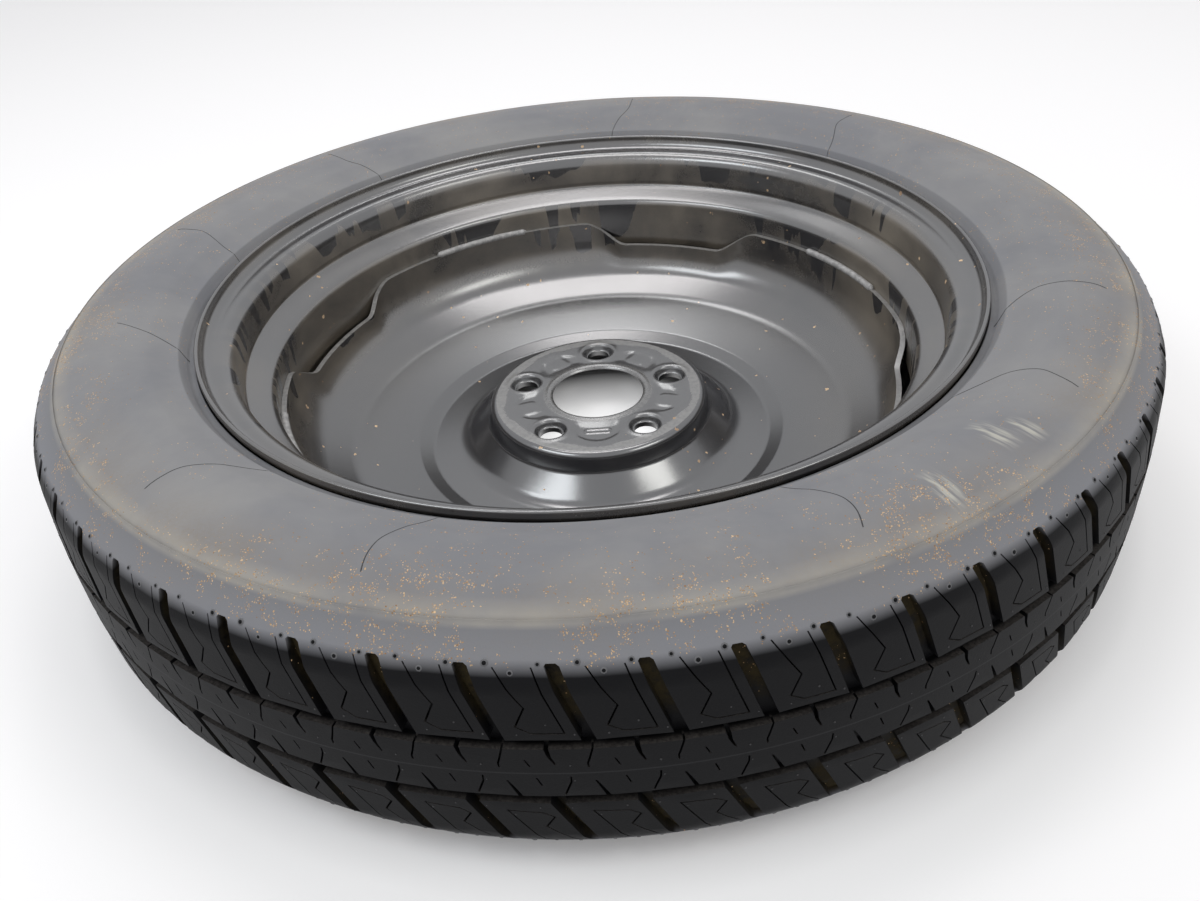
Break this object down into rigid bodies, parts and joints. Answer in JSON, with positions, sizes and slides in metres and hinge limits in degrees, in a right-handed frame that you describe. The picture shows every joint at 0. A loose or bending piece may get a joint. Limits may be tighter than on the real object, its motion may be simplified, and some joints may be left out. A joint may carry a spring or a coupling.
{
  "type": "temporary spare wheel",
  "caption": "Narrow temporary spare car wheel: pressed steel wheel with a drop centre rim, welded disc and moulded tyre with block tread.",
  "frame": {"origin": "on the floor under the wheel's centre, where the outboard sidewall rests", "axes": "+Z is the wheel's axis, pointing out of the inboard side; the wheel lies outboard side down; +X and +Y lie in the wheel's plane"},
  "size_m": [0.689, 0.689, 0.15],
  "materials": {
    "tyre_rubber": "matt, dusty",
    "black_paint": "gloss black paint",
    "valve_rubber": "matt",
    "brass": "satin",
    "seal_plastic": "matt",
    "spring_steel": "plain",
    "cap_plastic": "matt"
  },
  "bodies": {
    "wheel": {"tyre": "tyre_rubber", "rim": "black_paint", "disc": "black_paint", "disc_welds": "black_paint", "valve_stem": "valve_rubber", "valve_insert": "brass", "valve_core": "brass", "core_seal": "seal_plastic", "pin_spring": "spring_steel"},
    "pin": {"valve_pin": "brass"},
    "cap": {"valve_cap": "cap_plastic", "cap_seal": "valve_rubber"}
  },
  "joints": [
    {"name": "pin_press", "type": "slide", "parent": "wheel", "child": "pin", "axis": [-0.1615, -0.4207, 0.8927], "range_m": [0, 0.0012], "stiffness_N_per_m": 250, "deforming": ["pin_spring"]},
    {"name": "cap_off", "type": "slide", "parent": "wheel", "child": "cap", "axis": [0.1615, 0.4207, -0.8927], "range_m": [0, 0.012]}
  ]
}
